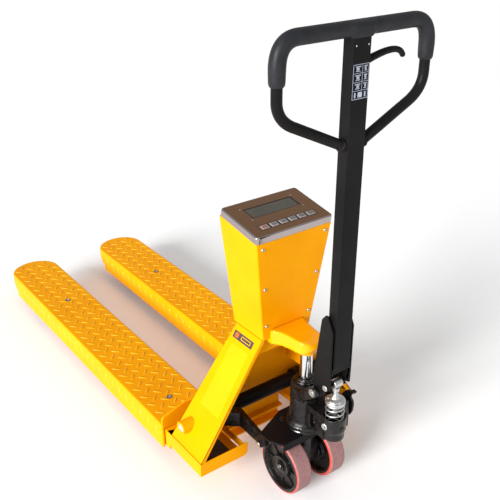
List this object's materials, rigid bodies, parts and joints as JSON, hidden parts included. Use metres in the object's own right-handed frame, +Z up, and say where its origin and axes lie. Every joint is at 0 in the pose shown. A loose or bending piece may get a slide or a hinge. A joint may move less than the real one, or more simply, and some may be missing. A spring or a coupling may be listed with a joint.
{
  "type": "pallet scale",
  "caption": "Hand pallet truck with a weighing scale: two chequer-plate forks on load cells, a column with a keyed display, a hydraulic lift pump and a steering handle.",
  "frame": {"origin": "on the floor under the middle of the truck's overall length and width, forks fully lowered, handle upright and straight", "axes": "+Y towards the fork tips, +X to the operator's right when standing behind the handle, +Z up"},
  "size_m": [0.55, 1.64, 1.2726],
  "materials": {
    "yellow_paint": "semi-gloss powder coat",
    "black_paint": "satin powder coat",
    "black_casting": "glossy black paint over a casting",
    "chrome": "polished hard chrome",
    "zinc": "zinc plated",
    "steel": "machined steel",
    "stainless": "brushed stainless",
    "polyurethane": "red polyurethane with a worn tread",
    "grip_rubber": "matt moulded grip",
    "display_glass": "grey-green display window",
    "key_plastic": "grey key",
    "key_red": "dull red key",
    "circuit_board": "green laminate",
    "battery_case": "grey moulding"
  },
  "bodies": {
    "chassis": {"fork_channel_left": "yellow_paint", "fork_channel_right": "yellow_paint", "weigh_platform_left": "yellow_paint", "weigh_platform_right": "yellow_paint", "heel_plate_left": "yellow_paint", "heel_plate_right": "yellow_paint", "load_cell_rear_left": "steel", "load_cell_rear_right": "steel", "load_cell_front_left": "steel", "load_cell_front_right": "steel", "side_tray_left": "yellow_paint", "side_tray_right": "yellow_paint", "gusset_left": "yellow_paint", "gusset_right": "yellow_paint", "rocker_pin_left": "steel", "rocker_pin_right": "steel", "cross_member": "yellow_paint", "head_casting": "yellow_paint", "column_shell": "yellow_paint", "column_cover": "yellow_paint", "battery": "battery_case", "indicator_case": "stainless", "display_window": "display_glass", "circuit_board": "circuit_board"},
    "ram": {"ram": "chrome"},
    "thrust_plate": {"thrust_plate": "black_paint", "thrust_bearing": "steel"},
    "pump": {"pump_body": "black_casting", "gland_ring": "zinc", "steer_axle": "steel", "handle_pin": "zinc", "return_spring": "zinc"},
    "handle": {"handle_bracket": "black_paint", "handle_shaft": "black_paint", "handle_loop": "black_paint", "handle_grip": "grip_rubber"},
    "pump_roller": {"pump_roller": "zinc"},
    "plunger": {"plunger": "zinc"},
    "control_lever": {"control_lever": "black_paint"},
    "release_lever": {"release_lever": "black_paint"},
    "rocker": {"torsion_tube": "black_paint", "rocker_arm_left": "black_casting", "rocker_arm_right": "black_casting"},
    "steering_wheel_left": {"wheel_hub_left": "black_casting", "wheel_tyre_left": "polyurethane"},
    "push_rod_left": {"push_rod_left": "black_paint"},
    "load_frame_left": {"load_frame_left": "black_paint"},
    "load_roller_left": {"load_roller_left": "polyurethane"},
    "steering_wheel_right": {"wheel_hub_right": "black_casting", "wheel_tyre_right": "polyurethane"},
    "push_rod_right": {"push_rod_right": "black_paint"},
    "load_frame_right": {"load_frame_right": "black_paint"},
    "load_roller_right": {"load_roller_right": "polyurethane"},
    "key_1": {"key_1": "key_red"},
    "key_2": {"key_2": "key_plastic"},
    "key_3": {"key_3": "key_plastic"},
    "key_4": {"key_4": "key_plastic"},
    "key_5": {"key_5": "key_plastic"},
    "key_6": {"key_6": "key_plastic"}
  },
  "joints": [
    {"name": "pump_tilt", "type": "hinge", "parent": "chassis", "child": "ram", "pos_m": [0, -0.672, 0.405], "axis": [1, 0, 0], "range_deg": [0, 5.7]},
    {"name": "lift", "type": "slide", "parent": "ram", "child": "thrust_plate", "axis": [0, 0, -1], "range_m": [0, 0.085]},
    {"name": "steer", "type": "hinge", "parent": "thrust_plate", "child": "pump", "pos_m": [0, -0.672, 0.19], "axis": [0, 0, 1], "range_deg": [-90, 90]},
    {"name": "handle_tilt", "type": "hinge", "parent": "pump", "child": "handle", "pos_m": [0, -0.755, 0.36], "axis": [1, 0, 0], "range_deg": [0, 78]},
    {"name": "pump_roller_spin", "type": "hinge", "parent": "handle", "child": "pump_roller", "pos_m": [0, -0.788, 0.388], "axis": [1, 0, 0], "continuous": true},
    {"name": "plunger_slide", "type": "slide", "parent": "pump", "child": "plunger", "axis": [0, 0, -1], "range_m": [0, 0.058], "stiffness_N_per_m": 4000, "springref_m": -0.05, "deforming": ["return_spring"]},
    {"name": "control_lever_swing", "type": "hinge", "parent": "handle", "child": "control_lever", "pos_m": [0.012, -0.79, 1.186], "axis": [0, -1, 0], "range_deg": [-10, 13], "stiffness_Nm_per_rad": 8, "springref_deg": 0.69},
    {"name": "release_lever_swing", "type": "hinge", "parent": "pump", "child": "release_lever", "pos_m": [0.062, -0.758, 0.29], "axis": [1, 0, 0], "range_deg": [-13.5, 10.5]},
    {"name": "rocker_swing", "type": "hinge", "parent": "chassis", "child": "rocker", "pos_m": [0, -0.473, 0.17], "axis": [1, 0, 0], "range_deg": [0, 31.3]},
    {"name": "push_rod_left_slide", "type": "slide", "parent": "chassis", "child": "push_rod_left", "axis": [0, 1, 0], "range_m": [0, 0.0265]},
    {"name": "load_frame_left_swing", "type": "hinge", "parent": "chassis", "child": "load_frame_left", "pos_m": [-0.187, 0.52, 0.054], "axis": [-1, 0, 0], "range_deg": [0, 49.6]},
    {"name": "load_roller_left_spin", "type": "hinge", "parent": "load_frame_left", "child": "load_roller_left", "pos_m": [-0.187, 0.63691, 0.038], "axis": [1, 0, 0], "continuous": true},
    {"name": "steering_wheel_left_spin", "type": "hinge", "parent": "pump", "child": "steering_wheel_left", "pos_m": [-0.0595, -0.674, 0.08], "axis": [1, 0, 0], "continuous": true},
    {"name": "push_rod_right_slide", "type": "slide", "parent": "chassis", "child": "push_rod_right", "axis": [0, 1, 0], "range_m": [0, 0.0265]},
    {"name": "load_frame_right_swing", "type": "hinge", "parent": "chassis", "child": "load_frame_right", "pos_m": [0.187, 0.52, 0.054], "axis": [-1, 0, 0], "range_deg": [0, 49.6]},
    {"name": "load_roller_right_spin", "type": "hinge", "parent": "load_frame_right", "child": "load_roller_right", "pos_m": [0.187, 0.63691, 0.038], "axis": [1, 0, 0], "continuous": true},
    {"name": "steering_wheel_right_spin", "type": "hinge", "parent": "pump", "child": "steering_wheel_right", "pos_m": [0.0595, -0.674, 0.08], "axis": [1, 0, 0], "continuous": true},
    {"name": "key_1_press", "type": "slide", "parent": "chassis", "child": "key_1", "axis": [0, 0.1711, -0.9853], "range_m": [0, 0.001], "stiffness_N_per_m": 300, "springref_m": -0.0005},
    {"name": "key_2_press", "type": "slide", "parent": "chassis", "child": "key_2", "axis": [0, 0.1711, -0.9853], "range_m": [0, 0.001], "stiffness_N_per_m": 300, "springref_m": -0.0005},
    {"name": "key_3_press", "type": "slide", "parent": "chassis", "child": "key_3", "axis": [0, 0.1711, -0.9853], "range_m": [0, 0.001], "stiffness_N_per_m": 300, "springref_m": -0.0005},
    {"name": "key_4_press", "type": "slide", "parent": "chassis", "child": "key_4", "axis": [0, 0.1711, -0.9853], "range_m": [0, 0.001], "stiffness_N_per_m": 300, "springref_m": -0.0005},
    {"name": "key_5_press", "type": "slide", "parent": "chassis", "child": "key_5", "axis": [0, 0.1711, -0.9853], "range_m": [0, 0.001], "stiffness_N_per_m": 300, "springref_m": -0.0005},
    {"name": "key_6_press", "type": "slide", "parent": "chassis", "child": "key_6", "axis": [0, 0.1711, -0.9853], "range_m": [0, 0.001], "stiffness_N_per_m": 300, "springref_m": -0.0005}
  ],
  "couplings": [
    {"joint": "pump_tilt", "follows": "lift", "rad_per_m": 1.161},
    {"joint": "rocker_swing", "follows": "lift", "rad_per_m": 6.4},
    {"joint": "plunger_slide", "follows": "handle_tilt", "m_per_rad": 0.0418},
    {"joint": "release_lever_swing", "follows": "control_lever_swing", "ratio": -1},
    {"joint": "push_rod_left_slide", "follows": "lift", "ratio": 0.30492},
    {"joint": "load_frame_left_swing", "follows": "lift", "rad_per_m": 10.148},
    {"joint": "push_rod_right_slide", "follows": "lift", "ratio": 0.30492},
    {"joint": "load_frame_right_swing", "follows": "lift", "rad_per_m": 10.148}
  ]
}
